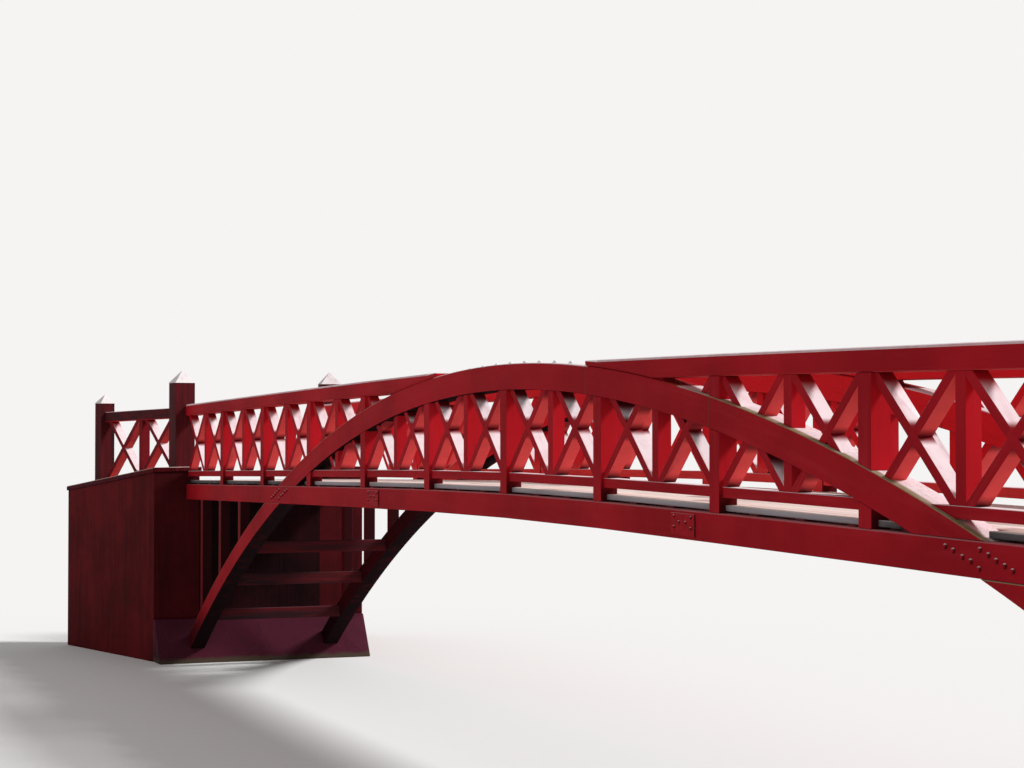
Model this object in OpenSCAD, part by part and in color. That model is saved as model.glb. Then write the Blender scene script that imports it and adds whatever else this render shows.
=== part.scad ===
// Moon bridge: a cambered timber footbridge carried by a pair of through arch ribs.
// X runs along the bridge, Y across it, and Z = 0 is the waterline under the abutments.

/* [Bridge] */
// Distance from one main post to the next
bay = 2000; // [1600:50:2400]
// Number of bays on each side of midspan
half_bays = 6; // [5:1:7]
// Width over the outer faces of the two parapets
bridge_w = 2100; // [1800:50:2800]
// Height of the stringers' top above the water at midspan
crown_z = 2600; // [2400:50:3000]
// Slope of the walkway towards each end
camber_slope = 0.0173; // [0.005:0.0001:0.03]
// Half of the stretch at midspan over which the two slopes are rounded together
camber_round = 2790; // [500:10:4000]

/* [Arch ribs] */
// Height of the rib's back above the stringers' top at midspan
rib_rise = 1122; // [900:10:1400]
// Height above the water where the rib's back would reach the front wall
rib_foot_z = 255; // [100:5:500]
// Depth of the rib at midspan
rib_crown_d = 226; // [150:2:300]
// Upright depth of the rib where it would reach the front wall
rib_foot_d = 240; // [220:5:400]
// Height of the rib's seat in the plinth above the water
seat_z = 150; // [100:5:160]
// Distance of the rib's square end from the front wall's face
seat_back = 120; // [80:5:160]

/* [Walkway] */
// Depth of a stringer
stringer_d = 210; // [150:5:300]
// Thickness of the stringers, ribs and top rails, across the bridge
parapet_t = 200; // [140:5:260]
// Thickness of the deck
deck_t = 35; // [25:5:70]
// Step of the deck's underside above the stringers' top
deck_step = 15; // [5:1:30]
// Distance of the deck's edges behind the parapets' outer faces
deck_edge = 50; // [20:5:120]
// Width of a joist
joist_w = 100; // [60:5:140]
// Depth of a joist
joist_d = 150; // [100:5:200]
// Distance from one joist to the next
joist_pitch = 640; // [500:10:800]

/* [Parapets] */
// Height of the top rail's back above the stringers' top
rail_top = 1105; // [1000:5:1200]
// Depth of the top rail
rail_d = 156; // [100:2:200]
// Height of a top rail's square end above the rib's back
rail_nose = 41; // [20:1:80]
// Height of the bottom rail's underside above the stringers' top
kerb_gap = 109; // [60:1:160]
// Depth of the bottom rail
kerb_d = 75; // [50:5:120]
// Width of a main post along the bridge
post_w = 150; // [100:5:200]
// Thickness of a main post, across the bridge
post_t = 140; // [100:5:200]
// Width of an upright along the bridge
upright_w = 104; // [50:2:120]
// Thickness of uprights, braces and bottom rails, across the bridge
lattice_t = 105; // [80:5:140]
// Step of the uprights, braces and bottom rails behind the parapets' outer faces
lattice_set = 25; // [0:5:50]
// Depth of a brace in the plane of the lattice
brace_d = 70; // [40:2:90]
// Height of the braces' crossings above the bottom rail
cross_rise = 384; // [340:2:460]

/* [Underside] */
// Side of the square struts between the ribs and the stringers
strut_w = 120; // [80:5:160]
// Struts on each rib at each end
strut_count = 3; // [1:1:3]
// Step of the struts from the ties towards the abutment
strut_step = 90; // [0:5:150]
// Height of the level cut that blunts a strut's toe on the rib
strut_toe = 10; // [5:1:30]
// Depth of a tie between the ribs
tie_d = 145; // [100:5:200]
// Width of a tie
tie_w = 100; // [60:5:150]
// Step from the rib's back down to a tie
tie_drop = 70; // [0:5:100]

/* [Splice plates] */
// Half the distance between the left and the right plate
splice_x = 3580; // [3300:10:3800]
// Shift of the plates along the bridge, from even distances about midspan
splice_shift = -60; // [-100:10:100]
// Length of a plate
splice_l = 380; // [200:10:400]
// Depth of a plate
splice_d = 160; // [100:5:200]
// Thickness of a plate
splice_t = 10; // [6:1:16]

/* [Abutments] */
// Width of the plinth and the front wall
abutment_w = 3000; // [2700:50:3600]
// Thickness of the front wall
wall_t = 300; // [200:10:400]
// Height of the plinth
plinth_h = 580; // [400:10:700]
// Ledge of the plinth in front of the wall, at its top
plinth_ledge = 60; // [30:5:100]
// Foot of the plinth in front of the wall, at the water
plinth_foot = 400; // [200:10:500]
// Height of the wing walls at the bridge, with their coping
wing_z = 2678; // [2600:2:3200]
// Splay of the wings from the bridge's line
splay = 13; // [8:1:24]
// Length of a wing wall, from the tall post's centre to its end
wing_l = 2860; // [2700:20:3400]
// Fall of the wing wall's top from the bridge to its end
wing_fall = 320; // [0:10:400]
// Width of the wing wall past the tall post's inner side
wing_margin = 20; // [20:5:60]
// Thickness of the coping
coping_t = 65; // [30:5:80]
// Overhang of the coping
coping_over = 20; // [0:5:40]

/* [End posts] */
// Side of a tall post
tall_w = 280; // [220:10:320]
// Height of a tall post's shoulder above the water
tall_z = 3838; // [3700:2:4200]
// Distance of a tall post's centre behind the wall's face
tall_back = 200; // [190:10:260]
// Distance of a tall post's centre outside the parapet's outer face
tall_out = 20; // [-60:5:60]
// Side of a wing post
small_w = 215; // [160:5:260]
// Height of a wing post's shoulder above the water
small_z = 3585; // [3500:5:3800]
// Slope of the pyramid caps, in degrees
cap_slope = 50; // [25:1:55]
// Overhang of the caps
cap_over = 10; // [0:2:20]

/* [Wing panels] */
// Distance between the centres of a tall post and its wing post
wing_bay = 2600; // [2000:10:2700]
// Height of the wing rail's back above the water, at the tall post
wing_rail_z = 3500; // [3400:10:3600]
// Fall of the wing rail towards the wing post
wing_rail_fall = 45; // [0:5:120]
// Depth of the wing rail
wing_rail_d = 145; // [100:5:200]
// Thickness of the wing rail, across the wing
wing_rail_t = 150; // [100:5:160]
// Thickness of the wing's braces and upright, across the wing
wing_lattice_t = 120; // [60:5:150]
// Lean of the wing's braces, in degrees
wing_lean = 39; // [30:1:50]
// Step of the wing's crossings above the middle of the panel
wing_cross_up = 40; // [-40:5:80]

/* [Hidden] */
$fn = 256;

front = -1;
back = 1;
left = -1;
right = 1;
half_len = half_bays * bay;
half_bay = bay / 2;
inner_y = bridge_w / 2 - parapet_t;
parapet_y = bridge_w / 2 - parapet_t / 2;
post_y = bridge_w / 2 - post_t / 2;
lattice_y = bridge_w / 2 - lattice_set - lattice_t / 2;
deck_half = bridge_w / 2 - deck_edge;
rail_low = rail_top - rail_d;
kerb_top = kerb_gap + kerb_d;
deck_low = deck_step;
deck_top = deck_step + deck_t;
rib_crown_z = crown_z + rib_rise;
back_drop = rib_crown_z - rib_foot_z;
belly_drop = back_drop - rib_crown_d + rib_foot_d;
back_r = (pow(half_len, 2) + pow(back_drop, 2)) / (2 * back_drop);
belly_r = (pow(half_len, 2) + pow(belly_drop, 2)) / (2 * belly_drop);
wing_y = bridge_w / 2 + tall_out;
wing_out = tall_back * sin(splay) + (abutment_w / 2 - wing_y) * cos(splay);
wing_in = tall_w / 2 + wing_margin;
wing_from = -2 * tall_back - wall_t;
brace_lean = atan(cross_rise / (half_bay / 2 - brace_d));
reach = 6000;

timber = [0.60, 0.10, 0.14];
timber_dark = [0.42, 0.07, 0.10];
masonry = [0.45, 0.09, 0.12];
plinth_pink = [0.62, 0.28, 0.34];
deck_grey = [0.62, 0.60, 0.58];
steel_paint = [0.55, 0.09, 0.13];

// Height of the walkway's line: two slopes rounded together at midspan, straight between posts
function slope_z(x) = -camber_slope * (sqrt(x * x + camber_round * camber_round) - camber_round);
grade_points = [for (i = [-half_bays - 1 : half_bays + 1]) [i * bay, slope_z(i * bay)]];
function grade(x) = crown_z + lookup(x, grade_points);

// Height of the rib's back at x
function back_z(x) = rib_crown_z - back_r + sqrt(back_r * back_r - x * x);

// Distance from midspan to the square ends of the top rails, to a whole centimetre
rail_end = [for (x = [0 : 10 : half_len]) if (grade(x) + rail_top - back_z(x) >= rail_nose) x][0];

// Strip that follows the walkway's line, drawn in the X and Z plane
module strip(from_x, to_x, low, high) {
    bends = [for (i = [-half_bays : half_bays]) if (i * bay > from_x && i * bay < to_x) i * bay];
    xs = concat([from_x], bends, [to_x]);
    last = len(xs) - 1;
    polygon(concat(
        [for (i = [0 : last]) [xs[i], grade(xs[i]) + low]],
        [for (i = [last : -1 : 0]) [xs[i], grade(xs[i]) + high]]
    ));
}

// Stands a drawing of the X and Z plane up, as thick as t and centred on y
module stand(y, t) {
    translate([0, y + t / 2, 0])
        rotate([90, 0, 0])
            linear_extrude(t)
                children();
}

// Everything under the back of the rib
module under_back() {
    translate([0, rib_crown_z - back_r]) circle(back_r);
}

// Everything under the belly of the rib
module under_belly() {
    translate([0, rib_crown_z - rib_crown_d - belly_r]) circle(belly_r);
}

// Rib outline, with a level seat and an upright end in each plinth
module rib_outline() {
    intersection() {
        difference() {
            under_back();
            under_belly();
        }
        translate([seat_back - half_len, seat_z])
            square([2 * (half_len - seat_back), rib_crown_z]);
    }
}

// Plinth outline at the right end, with its sloped front
module plinth_outline() {
    polygon([
        [half_len - plinth_foot, 0],
        [half_len + wall_t, 0],
        [half_len + wall_t, plinth_h],
        [half_len - plinth_ledge, plinth_h]
    ]);
}

// Plinth before the pockets for the ribs are cut
module plinth_block(end) {
    mirror([end == left ? 1 : 0, 0, 0])
        stand(0, abutment_w) plinth_outline();
}

module plinth(end) {
    color(plinth_pink)
        difference() {
            plinth_block(end);
            for (side = [front, back])
                stand(side * parapet_y, parapet_t) rib_outline();
        }
}

// Puts a piece of the right front wing where it belongs, in the wing's own frame:
// the tall post's centre is the origin, and the wing runs along its X axis
module at_wing(end, side) {
    mirror([end == left ? 1 : 0, 0, 0])
        mirror([0, side == back ? 1 : 0, 0])
            translate([half_len + tall_back, -wing_y, 0])
                rotate([0, 0, -splay])
                    children();
}

// Turns a tall post halfway between the bridge's line and the wing's
module at_tall_post(end, side) {
    at_wing(end, side)
        rotate([0, 0, splay / 2])
            children();
}

// Keeps only what lies behind the front wall's face, or over by a little
module behind_face(end, over) {
    intersection() {
        children();
        translate([end == left ? -half_len + over - reach : half_len - over, -reach / 2, 0])
            cube([reach, reach, reach]);
    }
}

// Top of the coping at x in the wing's frame
function coping_z(x) = wing_z - wing_fall * max(x + tall_back, 0) / (wing_l + tall_back);

// Outline of the wing's side up to its coping's top, or lower by the given step
module wing_side(length, step) {
    polygon([
        [wing_from, 0],
        [length, 0],
        [length, coping_z(length) - step],
        [-tall_back, wing_z - step],
        [wing_from, wing_z - step]
    ]);
}

module wing_wall(end, side) {
    color(masonry)
        difference() {
            behind_face(end, 0)
                at_wing(end, side)
                    stand((wing_in - wing_out) / 2, wing_in + wing_out)
                        wing_side(wing_l, coping_t);
            plinth_block(end);
        }
}

module coping(end, side) {
    behind_face(end, coping_over)
        at_wing(end, side)
            stand((wing_in - wing_out) / 2, wing_in + wing_out + 2 * coping_over)
                difference() {
                    wing_side(wing_l + coping_over, 0);
                    wing_side(wing_l + coping_over, coping_t);
                }
}

module copings() {
    color(masonry)
        for (end = [left, right])
            for (side = [front, back])
                coping(end, side);
}

// What the ends of a parapet are cut to: the tall post's face and the coping
module wing_cut(end, side) {
    at_tall_post(end, side)
        translate([-tall_w / 2, -reach / 2, 0])
            cube([reach, reach, reach]);
    coping(end, side);
}

module front_wall(end) {
    color(masonry)
        difference() {
            translate([end == left ? -half_len - wall_t : half_len, -abutment_w / 2, plinth_h])
                cube([wall_t, abutment_w, grade(half_len) + deck_low - plinth_h]);
            for (side = [front, back])
                behind_face(end, 0)
                    at_wing(end, side)
                        translate([-reach / 2, -reach, 0])
                            cube([reach, reach + wing_in, reach]);
        }
}

// Boards that carry the walkway over each front wall
module thresholds() {
    color(timber_dark)
        for (end = [left, right])
            difference() {
                translate([end == left ? -half_len - wall_t : half_len, -abutment_w / 2, grade(half_len) + deck_low])
                    cube([wall_t, abutment_w, deck_t]);
                for (side = [front, back])
                    behind_face(end, coping_over)
                        at_wing(end, side)
                            translate([-reach / 2, -reach, 0])
                                cube([reach, reach + wing_in + coping_over, reach]);
            }
}

module stringer_strip() {
    strip(-half_len, half_len, -stringer_d, 0);
}

// A rib, halved on its outer side where the stringer crosses it
module rib(side) {
    color(timber)
        difference() {
            stand(side * parapet_y, parapet_t) rib_outline();
            stand(side * (parapet_y + parapet_t / 4), parapet_t / 2) stringer_strip();
        }
}

// A stringer, halved on its inner side where the rib crosses it
module stringer(side) {
    color(timber)
        difference() {
            stand(side * parapet_y, parapet_t) stringer_strip();
            stand(side * (parapet_y - parapet_t / 4), parapet_t / 2) rib_outline();
        }
}

module splice_plates() {
    color(steel_paint)
        for (side = [front, back])
            for (end = [left, right])
                let (x = end * splice_x + splice_shift)
                    stand(side * (bridge_w + splice_t) / 2, splice_t)
                        strip(
                            x - splice_l / 2, x + splice_l / 2,
                            -(stringer_d + splice_d) / 2, -(stringer_d - splice_d) / 2
                        );
}

module struts(side) {
    color(timber)
        stand(side * (bridge_w - strut_w) / 2, strut_w)
            difference() {
                for (end = [left, right])
                    for (i = [1 : strut_count])
                        let (x = end * (half_len - i * half_bay + strut_step))
                            intersection() {
                                strip(-half_len, half_len, -crown_z, -stringer_d);
                                translate([x - strut_w / 2, back_z(abs(x) + strut_w / 2) + strut_toe])
                                    square([strut_w, crown_z]);
                            }
                under_back();
            }
}

module ties(end) {
    color(timber)
        for (i = [1 : strut_count])
            let (x = end * (half_len - i * half_bay))
                translate([x - tie_w / 2, -inner_y, back_z(x) - tie_drop - tie_d])
                    cube([tie_w, 2 * inner_y, tie_d]);
}

// Outlines of the joists between the two given heights above the stringers' top
module joist_outlines(low, high) {
    last = floor((half_len - joist_w) / joist_pitch);
    for (i = [-last : last])
        let (x = i * joist_pitch)
            strip(x - joist_w / 2, x + joist_w / 2, low, high);
}

// Cuts a piece of the walkway to the main posts, and to the ribs where they pass through it
module clear_of_parapets() {
    difference() {
        children();
        for (side = [front, back]) {
            stand(side * post_y, post_t) post_columns();
            stand(side * parapet_y, parapet_t) rib_outline();
        }
    }
}

// Joists, hung between the stringers, with thinner ends that lie on them
module joists() {
    color(timber_dark)
        clear_of_parapets() {
            stand(0, 2 * inner_y) joist_outlines(deck_low - joist_d, deck_low);
            stand(0, 2 * deck_half) joist_outlines(0, deck_low);
        }
}

module deck() {
    color(deck_grey)
        clear_of_parapets()
            stand(0, 2 * deck_half) strip(-half_len, half_len, deck_low, deck_top);
}

// Upright strips of the X and Z plane in which the main posts stand
module post_columns() {
    for (i = [1 - half_bays : half_bays - 1])
        translate([i * bay - post_w / 2, 0]) square([post_w, rib_crown_z]);
}

// Outlines of all main posts, from the stringer to the top rail
module post_outlines() {
    intersection() {
        strip(-half_len, half_len, 0, rail_low);
        post_columns();
    }
}

module main_posts(side) {
    color(timber)
        stand(side * post_y, post_t)
            difference() {
                post_outlines();
                rib_outline();
            }
}

// Outlines of the uprights, halfway between the main posts
module upright_outlines() {
    intersection() {
        strip(-half_len, half_len, kerb_top, rail_low);
        for (i = [-half_bays : half_bays - 1])
            translate([(i + 0.5) * bay - upright_w / 2, 0]) square([upright_w, rib_crown_z]);
    }
}

module uprights(side) {
    color(timber)
        stand(side * lattice_y, lattice_t)
            difference() {
                upright_outlines();
                rib_outline();
            }
}

module bottom_rail(side) {
    color(timber)
        difference() {
            stand(side * lattice_y, lattice_t)
                difference() {
                    strip(-half_len, half_len, kerb_gap, kerb_top);
                    post_outlines();
                    rib_outline();
                }
            wing_cut(left, side);
            wing_cut(right, side);
        }
}

// One pair of crossed braces, each from the bottom rail beside one post past their crossing
module cross(x) {
    translate([x, grade(x) + kerb_top + cross_rise])
        for (lean = [-brace_lean, brace_lean])
            rotate(lean) square([2 * bay, brace_d], center = true);
}

// Half the width of the timber that stands i half bays from midspan; none stands at the ends
function half_timber(i) = abs(i) == 2 * half_bays ? 0 : (i % 2 == 0 ? post_w : upright_w) / 2;

// Crossed braces of one half of a parapet, cut to the rails, posts, uprights and rib
module lattice(side, end) {
    first = end == left ? -2 * half_bays : 0;
    color(timber)
        difference() {
            stand(side * lattice_y, lattice_t)
                difference() {
                    for (i = [first : first + 2 * half_bays - 1])
                        intersection() {
                            cross((i + 0.5) * half_bay);
                            strip(
                                i * half_bay + half_timber(i), (i + 1) * half_bay - half_timber(i + 1),
                                kerb_top, rail_low
                            );
                        }
                    rib_outline();
                }
            wing_cut(end, side);
        }
}

// A top rail, laid on the rib's back near midspan and ended square
module top_rail(side, end) {
    color(timber)
        difference() {
            stand(side * parapet_y, parapet_t)
                difference() {
                    strip(
                        end == left ? -half_len - tall_back - tall_w : rail_end,
                        end == left ? -rail_end : half_len + tall_back + tall_w,
                        rail_low, rail_top
                    );
                    under_back();
                }
            wing_cut(end, side);
        }
}

module post(w, low, high) {
    translate([-w / 2, -w / 2, low]) cube([w, w, high - low]);
}

// Everything under the wing's coping and past its end
module under_coping(end, side) {
    at_wing(end, side)
        stand(0, reach) wing_side(wing_l + small_w, 0);
}

module tall_posts() {
    color(timber)
        for (end = [left, right])
            for (side = [front, back])
                difference() {
                    at_tall_post(end, side) post(tall_w, wing_z - wing_fall, tall_z);
                    under_coping(end, side);
                }
}

module wing_posts() {
    color(timber)
        for (end = [left, right])
            for (side = [front, back])
                difference() {
                    at_wing(end, side)
                        translate([wing_bay, 0, 0])
                            post(small_w, wing_z - 2 * wing_fall, small_z);
                    under_coping(end, side);
                }
}

// Pyramid with four flat slopes that reaches over its post on all sides
module cap(w, low) {
    half = w / 2 + cap_over;
    translate([0, 0, low])
        rotate([0, 0, 45])
            cylinder(h = tan(cap_slope) * half, r1 = half * sqrt(2), r2 = 0, $fn = 4);
}

module post_caps() {
    color(timber)
        for (end = [left, right])
            for (side = [front, back]) {
                at_tall_post(end, side) cap(tall_w, tall_z);
                at_wing(end, side) translate([wing_bay, 0, 0]) cap(small_w, small_z);
            }
}

// Strip along a wing, from the tall post's middle to the wing post, that follows the rail's back
module wing_strip(low, high) {
    to_x = wing_bay - small_w / 2;
    to_z = wing_rail_z - wing_rail_fall * to_x / wing_bay;
    polygon([
        [0, wing_rail_z + low],
        [to_x, to_z + low],
        [to_x, to_z + high],
        [0, wing_rail_z + high]
    ]);
}

// Stands a piece of a wing's panel up, flush with the wing post's inner side, and cuts it to the tall post
module wing_panel(end, side, t) {
    difference() {
        at_wing(end, side)
            stand((small_w - t) / 2, t)
                children();
        at_tall_post(end, side) post(tall_w, 0, reach);
    }
}

module wing_rails() {
    color(timber)
        for (end = [left, right])
            for (side = [front, back])
                wing_panel(end, side, wing_rail_t) wing_strip(-wing_rail_d, 0);
}

// Outline of a wing's lattice: two pairs of crossed braces and the upright between them
module wing_lattice_outline() {
    from_x = tall_w / 2;
    to_x = wing_bay - small_w / 2;
    mid_x = (from_x + to_x) / 2;
    quarter = (to_x - from_x) / 4;
    difference() {
        intersection() {
            union() {
                translate([mid_x - upright_w / 2, 0]) square([upright_w, wing_rail_z]);
                for (x = [mid_x - quarter, mid_x + quarter])
                    let (panel_top = wing_rail_z - wing_rail_fall * x / wing_bay - wing_rail_d)
                        translate([x, (panel_top + coping_z(x)) / 2 + wing_cross_up])
                            for (lean = [-wing_lean, wing_lean])
                                rotate(lean) square([wing_bay, brace_d], center = true);
            }
            wing_strip(-wing_rail_z, -wing_rail_d);
        }
        wing_side(wing_l, 0);
    }
}

module wing_lattices() {
    color(timber)
        for (end = [left, right])
            for (side = [front, back])
                wing_panel(end, side, wing_lattice_t) wing_lattice_outline();
}

plinth(left);  // plinth_left
plinth(right);  // plinth_right
front_wall(left);  // front_wall_left
front_wall(right);  // front_wall_right
wing_wall(left, front);  // wing_wall_left_front
wing_wall(left, back);  // wing_wall_left_back
wing_wall(right, front);  // wing_wall_right_front
wing_wall(right, back);  // wing_wall_right_back
copings();
thresholds();
rib(front);  // rib_front
rib(back);  // rib_back
struts(front);  // struts_front
struts(back);  // struts_back
ties(left);  // ties_left
ties(right);  // ties_right
stringer(front);  // stringer_front
stringer(back);  // stringer_back
splice_plates();
joists();
deck();
main_posts(front);  // main_posts_front
main_posts(back);  // main_posts_back
uprights(front);  // uprights_front
uprights(back);  // uprights_back
bottom_rail(front);  // bottom_rail_front
bottom_rail(back);  // bottom_rail_back
lattice(front, left);  // lattice_front_left
lattice(front, right);  // lattice_front_right
lattice(back, left);  // lattice_back_left
lattice(back, right);  // lattice_back_right
top_rail(front, left);  // top_rail_front_left
top_rail(front, right);  // top_rail_front_right
top_rail(back, left);  // top_rail_back_left
top_rail(back, right);  // top_rail_back_right
tall_posts();
wing_posts();
post_caps();
wing_rails();
wing_lattices();
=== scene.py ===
import math

import bpy
import numpy as np
from mathutils import Matrix, Vector


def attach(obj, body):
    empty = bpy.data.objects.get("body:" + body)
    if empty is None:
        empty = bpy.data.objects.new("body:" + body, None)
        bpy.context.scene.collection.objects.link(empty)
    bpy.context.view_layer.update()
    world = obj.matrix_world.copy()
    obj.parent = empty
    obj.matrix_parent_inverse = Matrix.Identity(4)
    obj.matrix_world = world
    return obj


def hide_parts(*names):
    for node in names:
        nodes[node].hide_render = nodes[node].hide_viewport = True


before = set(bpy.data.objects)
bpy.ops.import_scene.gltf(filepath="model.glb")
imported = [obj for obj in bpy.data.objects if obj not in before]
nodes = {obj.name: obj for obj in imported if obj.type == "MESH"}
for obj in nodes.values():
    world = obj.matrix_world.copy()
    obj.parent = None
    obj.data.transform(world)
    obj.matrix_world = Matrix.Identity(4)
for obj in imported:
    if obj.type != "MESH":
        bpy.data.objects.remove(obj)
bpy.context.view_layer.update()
rng = np.random.default_rng(7)
print("frame loaded:", len(nodes), "nodes")

# The lines that the bridge was set out on, in metres
bridge = {
    "halfLength": 12.0,
    "bay": 2.0,
    "crown": 2.6,           # stringers' top at midspan
    "slope": 0.0173,        # of the walk, far from midspan
    "rounding": 2.79,       # distance over which the slope sets in
    "stringerDepth": 0.21,
    "sideMiddle": 0.95,     # middle of a rib, from the bridge's own middle
    "sideFace": 1.05,       # outer face of a parapet
    "ribInner": 0.85,       # inner face of a rib
    "postInner": 0.91,      # inner face of a main post
    "postWidth": 0.15,
    "deckHalf": 1.0,
    "deckLow": 0.015,       # deck's underside over the stringers' top
    "joistPitch": 0.64,
    "crossing": 0.568,      # braces' crossing over the stringers' top
    "ribRise": 1.122,
    "ribFoot": 0.255,
    "ribDepth": 0.226,
    "ribFootDepth": 0.240,
}


def postsAlong(beyond=0):
    # places of the main posts along the bridge, and of as many bays more at each end as asked
    last = round(bridge["halfLength"] / bridge["bay"]) + beyond
    return np.arange(-last, last + 1) * bridge["bay"]


def joistsAlong():
    last = int(bridge["halfLength"] / bridge["joistPitch"])
    return np.arange(-last, last + 1) * bridge["joistPitch"]


def gradeAt(x):
    # stringers' top: at a post it is the crown less the slope times (root of x squared and
    # rounding squared together, less the rounding), and it is straight between the posts
    posts = postsAlong(1)
    rounding = bridge["rounding"]
    heights = bridge["crown"] - bridge["slope"] * (np.sqrt(posts**2 + rounding**2) - rounding)
    return np.interp(x, posts, heights)


def circleThrough(top, foot):
    # circle with its top at midspan that passes the front walls' faces at the foot's height:
    # its radius is (half length squared plus drop squared) over twice the drop
    drop = top - foot
    return top, (bridge["halfLength"]**2 + drop**2) / (2 * drop)


ribTop = bridge["crown"] + bridge["ribRise"]
ribBack = circleThrough(ribTop, bridge["ribFoot"])
ribBelly = circleThrough(ribTop - bridge["ribDepth"], bridge["ribFoot"] - bridge["ribFootDepth"])


def arcAt(arc, x):
    # height on the circle: its top less its radius, plus the root of radius squared less x squared
    top, radius = arc
    return top - radius + np.sqrt(radius**2 - np.asarray(x)**2)


# Node helpers

def plug(tree, socket, value):
    if isinstance(value, bpy.types.NodeSocket):
        tree.links.new(value, socket)
    else:
        socket.default_value = value


def addNode(tree, kind, inputs=None, **settings):
    made = tree.nodes.new(kind)
    for name, value in settings.items():
        setattr(made, name, value)
    for name, value in (inputs or {}).items():
        plug(tree, made.inputs[name], value)
    return made


def calc(tree, operation, first, second=0.0, third=0.0):
    inputs = {0: first, 1: second, 2: third}
    return addNode(tree, "ShaderNodeMath", inputs, operation=operation).outputs[0]


def times(tree, first, second):
    return calc(tree, "MULTIPLY", first, second)


def timesPlus(tree, value, factor, base):
    # value times factor, plus base
    return calc(tree, "MULTIPLY_ADD", value, factor, base)


def absolute(tree, value):
    return calc(tree, "ABSOLUTE", value)


def hypotenuse(tree, first, second):
    # root of first squared plus second squared
    square = times(tree, second, second)
    return calc(tree, "SQRT", timesPlus(tree, first, first, square))


def band(tree, value, low, high):
    # 0 under low, 1 over high, and smooth between
    inputs = {"Value": value, "From Min": low, "From Max": high}
    return addNode(tree, "ShaderNodeMapRange", inputs, interpolation_type="SMOOTHSTEP").outputs[0]


def fall(tree, value, low, high):
    # 1 under low, 0 over high, and smooth between
    return calc(tree, "SUBTRACT", 1.0, band(tree, value, low, high))


def noise(tree, where, scale, detail=3.0, rough=0.55):
    inputs = {"Vector": where, "Scale": scale, "Detail": detail, "Roughness": rough}
    return addNode(tree, "ShaderNodeTexNoise", inputs).outputs[0]


def stretch(tree, where, factors):
    inputs = {"Vector": where, "Scale": factors}
    return addNode(tree, "ShaderNodeMapping", inputs).outputs[0]


def split(tree, vector):
    return addNode(tree, "ShaderNodeSeparateXYZ", {0: vector}).outputs


def join(tree, x, y, z):
    return addNode(tree, "ShaderNodeCombineXYZ", {0: x, 1: y, 2: z}).outputs[0]


def objectPlace(tree):
    return addNode(tree, "ShaderNodeTexCoord").outputs["Object"]


def faceDirection(tree):
    return split(tree, addNode(tree, "ShaderNodeNewGeometry").outputs["Normal"])


def tint(tree, share, first, second):
    made = addNode(tree, "ShaderNodeMix", None, data_type="RGBA", blend_type="MIX")
    for index, value in ((0, share), (6, first), (7, second)):
        plug(tree, made.inputs[index], value)
    return made.outputs[2]


def rgb(*colour):
    return (*colour, 1.0)


def startMaterial(name):
    made = bpy.data.materials.new(name)
    made.use_nodes = True
    made.node_tree.nodes.clear()
    return made, made.node_tree


def finishMaterial(tree, colour, rough, height, reach, strength, **plain):
    bumped = addNode(tree, "ShaderNodeBump", {"Height": height, "Distance": reach, "Strength": strength})
    shader = addNode(tree, "ShaderNodeBsdfPrincipled", {
        "Base Color": colour, "Roughness": rough, "Normal": bumped.outputs[0],
    })
    for name, value in plain.items():
        shader.inputs[name].default_value = value
    end = addNode(tree, "ShaderNodeOutputMaterial")
    tree.links.new(shader.outputs[0], end.inputs[0])


# Painted timber

paint = {
    "base": rgb(0.385, 0.0095, 0.0170),
    "deep": rgb(0.285, 0.0072, 0.0125),
    # painted light bounced from the walkway
    "bounceLight": rgb(0.720, 0.0170, 0.0250),
    "dusty": rgb(0.460, 0.0300, 0.0400),
    # bleached paint and painted sunlight on upper faces
    "fadedAndSunlit": rgb(0.860, 0.740, 0.765),
    "chalkyAndSunlit": rgb(0.800, 0.760, 0.765),
    # dirt, and painted shade on lower faces, on shaded pieces and on the bolts' sides
    "grimeAndShade": rgb(0.026, 0.011, 0.013),
    # damp and painted shade towards the foot
    "dampAndShade": rgb(0.040, 0.005, 0.007),
    # painted shade, with damp and dirt, under lower faces and under the walkway
    "black": rgb(0.009, 0.004, 0.005),
    # dust, and painted light bounced from the walkway
    "dustAndBounceLight": rgb(0.880, 0.108, 0.104),
    # painted shade in the corners at the braces' crossings and under the ribs
    "cornerShade": rgb(0.085, 0.003, 0.008),
    "seam": rgb(0.120, 0.060, 0.025),
    "moss": rgb(0.205, 0.148, 0.048),
    "roughness": 0.50,
    "shine": 0.015,
    "grainDepth": 0.0010,
    "bump": 0.6,
    # scales of the noises, for each metre: the second and third number are across the grain
    "cloudScale": 0.8,
    "patchScale": 7.0,
    "streakScale": (0.8, 14.0, 14.0),
    "fibreScale": (3.0, 70.0, 70.0),
    "fineScale": 260.0,
    "runScale": (26.0, 26.0, 1.6),   # long in z
    # how much of each colour there is at most
    "dustShare": 0.22,
    "fibreShare": 0.25,
    "wetShare": 0.25,
    "redKept": 0.22,                 # red that is left along the grain of bleached and sunlit faces
    "dampAndShadeShare": 0.92,
    "cornerShadeShare": 0.75,
    "footShare": 0.85,
    "endsShare": 0.35,               # of the painted bounce light, on faces that look along the bridge
    "splashAndBounceShare": 0.5,
    # places, in metres
    "dampAndShadeFrom": (0.30, 0.80),        # heights between which the damp and painted shade end
    "walkEdge": (-0.02, 0.06),       # over the stringers' top
    "splashAndBounceTo": (0.18, 0.30),        # over the stringers' top
    "underRail": (0.82, 0.91),       # over the stringers' top
    "aroundCrossing": (0.055, 0.125),
    "innerFace": (0.855, 0.900),     # from the bridge's middle, across it
    "underWalk": (-0.10, 0.0),       # over the stringers' top
}


def grainAlong(tree, where):
    return where


def grainUp(tree, where):
    parts = split(tree, where)
    return join(tree, parts[2], parts[1], parts[0])


def grainAcross(tree, where):
    parts = split(tree, where)
    return join(tree, parts[1], parts[0], parts[2])


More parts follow.
